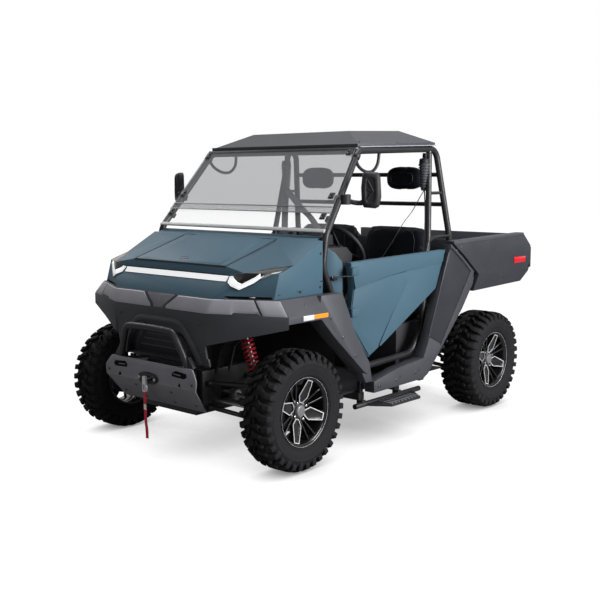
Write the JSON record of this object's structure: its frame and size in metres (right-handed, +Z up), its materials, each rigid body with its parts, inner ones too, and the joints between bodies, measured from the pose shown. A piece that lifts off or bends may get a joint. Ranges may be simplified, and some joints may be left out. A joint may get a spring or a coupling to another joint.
{
  "type": "side by side utility vehicle",
  "caption": "Two-seat side by side utility vehicle with half doors, roof, split windshield, winch bumper, tipping cargo bed and chunky off-road tyres.",
  "frame": {"origin": "on the ground, under the middle of the bounding box", "axes": "+X to the vehicle's left, -Y to its front, +Z up"},
  "size_m": [1.716, 2.94, 1.8607],
  "materials": {
    "body_paint": "satin slate blue",
    "black_plastic": "textured dark grey",
    "tube_coat": "satin black powder coat",
    "frame_coat": "satin black powder coat",
    "plate_coat": "textured charcoal powder coat",
    "tyre": "matt",
    "rim_paint": "gloss black with machined edges",
    "seat_cover": "matt black vinyl",
    "screen_tint": "grey tint",
    "lamp_white": "white diffuser",
    "lamp_lens": "smoked",
    "reflector_amber": "gloss",
    "reflector_red": "gloss",
    "steel": "zinc plated",
    "cast": "painted",
    "shock_metal": "satin",
    "spring_red": "gloss",
    "strap_red": "woven",
    "motor_case": "cast"
  },
  "bodies": {
    "chassis": {"main_frame": "frame_coat", "cab_floor": "black_plastic", "seat_base": "black_plastic", "battery_pack": "motor_case", "seat_cushion": "seat_cover", "seat_backs": "seat_cover", "side_hoops": "tube_coat", "cage_bars": "tube_coat", "headrests": "seat_cover", "roof_panel": "black_plastic", "windshield": "screen_tint", "mirrors": "black_plastic", "dashboard": "black_plastic", "front_body": "body_paint", "light_bar": "lamp_white", "headlamps": "lamp_lens", "bumper_cover": "black_plastic", "bull_bar": "tube_coat", "winch_plate": "plate_coat", "winch": "plate_coat", "tow_hook": "steel", "winch_strap": "strap_red", "marker_lamps": "reflector_amber", "side_mouldings": "black_plastic", "side_steps": "tube_coat", "suspension_arms": "frame_coat", "shock_bodies": "shock_metal", "shock_springs": "spring_red", "drive_axles": "steel", "drive_motor": "motor_case", "hitch_receiver": "frame_coat"},
    "cargo_bed": {"cargo_bed": "black_plastic", "tail_lamps": "reflector_red"},
    "tailgate": {"tailgate": "black_plastic"},
    "door_left": {"door_left": "body_paint"},
    "door_right": {"door_right": "body_paint"},
    "hood_lid": {"hood_lid": "body_paint"},
    "steering_wheel": {"steering_wheel": "black_plastic"},
    "knuckle_left": {"knuckle_left": "cast"},
    "knuckle_right": {"knuckle_right": "cast"},
    "rack_bar": {"rack_bar": "steel"},
    "wheel_front_left": {"tyre_front_left": "tyre", "rim_front_left": "rim_paint"},
    "wheel_front_right": {"tyre_front_right": "tyre", "rim_front_right": "rim_paint"},
    "wheel_rear_left": {"tyre_rear_left": "tyre", "rim_rear_left": "rim_paint"},
    "wheel_rear_right": {"tyre_rear_right": "tyre", "rim_rear_right": "rim_paint"}
  },
  "joints": [
    {"name": "steer_left", "type": "hinge", "parent": "chassis", "child": "knuckle_left", "pos_m": [0.625, -1.04, 0.328], "axis": [0, 0, 1], "range_deg": [-30, 30]},
    {"name": "steer_right", "type": "hinge", "parent": "chassis", "child": "knuckle_right", "pos_m": [-0.625, -1.04, 0.328], "axis": [0, 0, 1], "range_deg": [-30.5, 30.5]},
    {"name": "rack_slide", "type": "slide", "parent": "chassis", "child": "rack_bar", "axis": [1, 0, 0], "range_m": [-0.0555, 0.0555]},
    {"name": "wheel_turn", "type": "hinge", "parent": "chassis", "child": "steering_wheel", "pos_m": [0.36, -0.2, 1.13], "axis": [0, 0.8192, 0.5736], "range_deg": [-275, 275]},
    {"name": "door_left_swing", "type": "hinge", "parent": "chassis", "child": "door_left", "pos_m": [0.765, -0.593, 0.9], "axis": [0, 0, -1], "range_deg": [0, 70]},
    {"name": "door_right_swing", "type": "hinge", "parent": "chassis", "child": "door_right", "pos_m": [-0.765, -0.593, 0.9], "axis": [0, 0, 1], "range_deg": [0, 70]},
    {"name": "hood_lift", "type": "hinge", "parent": "chassis", "child": "hood_lid", "pos_m": [0, -0.809, 1.207], "axis": [-1, 0, 0], "range_deg": [0, 50]},
    {"name": "bed_tilt", "type": "hinge", "parent": "chassis", "child": "cargo_bed", "pos_m": [0, 1.208, 0.78], "axis": [-1, 0, 0], "range_deg": [0, 40]},
    {"name": "tailgate_drop", "type": "hinge", "parent": "cargo_bed", "child": "tailgate", "pos_m": [0, 1.446, 0.917], "axis": [-1, 0, 0], "range_deg": [0, 90]},
    {"name": "roll_front_left", "type": "hinge", "parent": "knuckle_left", "child": "wheel_front_left", "pos_m": [0.717, -1.04, 0.328], "axis": [1, 0, 0], "continuous": true},
    {"name": "roll_front_right", "type": "hinge", "parent": "knuckle_right", "child": "wheel_front_right", "pos_m": [-0.717, -1.04, 0.328], "axis": [1, 0, 0], "continuous": true},
    {"name": "roll_rear_left", "type": "hinge", "parent": "chassis", "child": "wheel_rear_left", "pos_m": [0.711, 0.908, 0.328], "axis": [1, 0, 0], "continuous": true},
    {"name": "roll_rear_right", "type": "hinge", "parent": "chassis", "child": "wheel_rear_right", "pos_m": [-0.711, 0.908, 0.328], "axis": [1, 0, 0], "continuous": true}
  ],
  "couplings": [
    {"joint": "steer_right", "follows": "steer_left", "ratio": 1},
    {"joint": "rack_slide", "follows": "steer_left", "m_per_rad": 0.105},
    {"joint": "wheel_turn", "follows": "steer_left", "ratio": 9}
  ]
}
